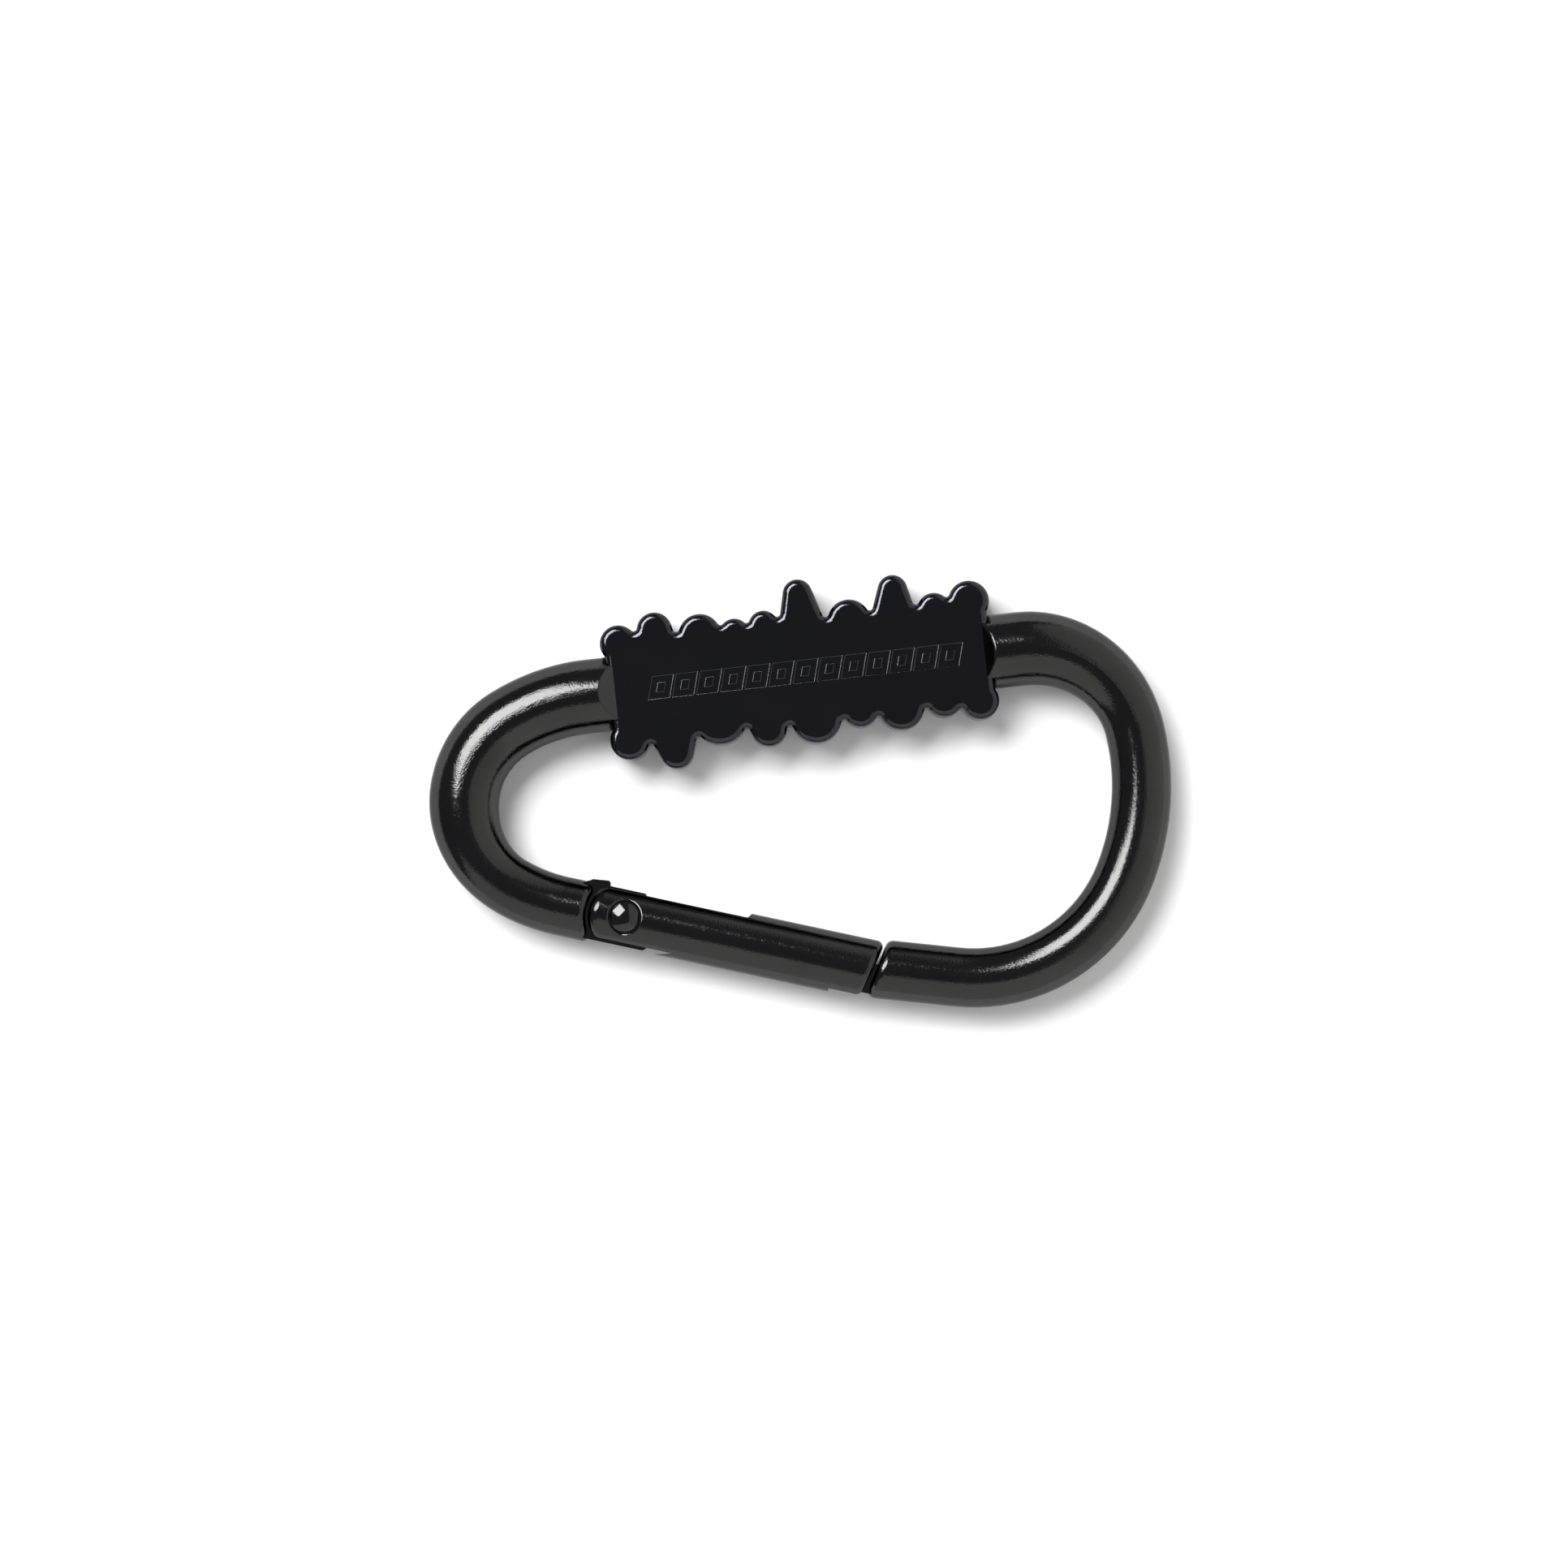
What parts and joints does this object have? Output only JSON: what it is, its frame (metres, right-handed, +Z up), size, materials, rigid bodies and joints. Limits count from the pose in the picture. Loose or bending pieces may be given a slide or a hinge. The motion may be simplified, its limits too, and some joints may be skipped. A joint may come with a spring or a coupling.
{
  "type": "carabiner keyring",
  "caption": "Snap-hook keyring bent from round rod, with a sprung gate on a riveted hinge and a flat lobed badge clamped on the spine.",
  "frame": {"origin": "middle of the outline seen from above, on the surface that the carabiner lies on", "axes": "+X along the spine and badge towards the nose side, +Y from the gate side to the badge side, +Z up out of the badge face"},
  "size_m": [0.0798, 0.0479, 0.008],
  "materials": {
    "black_nickel_rod": "gloss",
    "black_nickel_badge": "gloss",
    "black_nickel_rivet": "polished",
    "bare_steel": "satin"
  },
  "bodies": {
    "frame_body": {"frame": "black_nickel_rod", "badge_face": "black_nickel_badge", "badge_back": "black_nickel_badge", "badge_pin_left": "bare_steel", "badge_pin_right": "bare_steel"},
    "gate_body": {"gate": "black_nickel_rod", "hinge_rivet": "black_nickel_rivet", "return_spring": "bare_steel"},
    "plunger_body": {"spring_plunger": "bare_steel"}
  },
  "joints": [
    {"name": "gate_swing", "type": "hinge", "parent": "frame_body", "child": "gate_body", "pos_m": [-0.0202, -0.0101, 0.004], "axis": [0, 0, 1], "range_deg": [0, 34], "stiffness_Nm_per_rad": 0.02, "springref_deg": -57.3, "deforming": ["return_spring"]},
    {"name": "plunger_slide", "type": "slide", "parent": "gate_body", "child": "plunger_body", "axis": [0.9492, -0.3148, 0], "range_m": [0, 0.00085]}
  ],
  "couplings": [
    {"joint": "plunger_slide", "follows": "gate_swing", "m_per_rad": 0.0014}
  ]
}
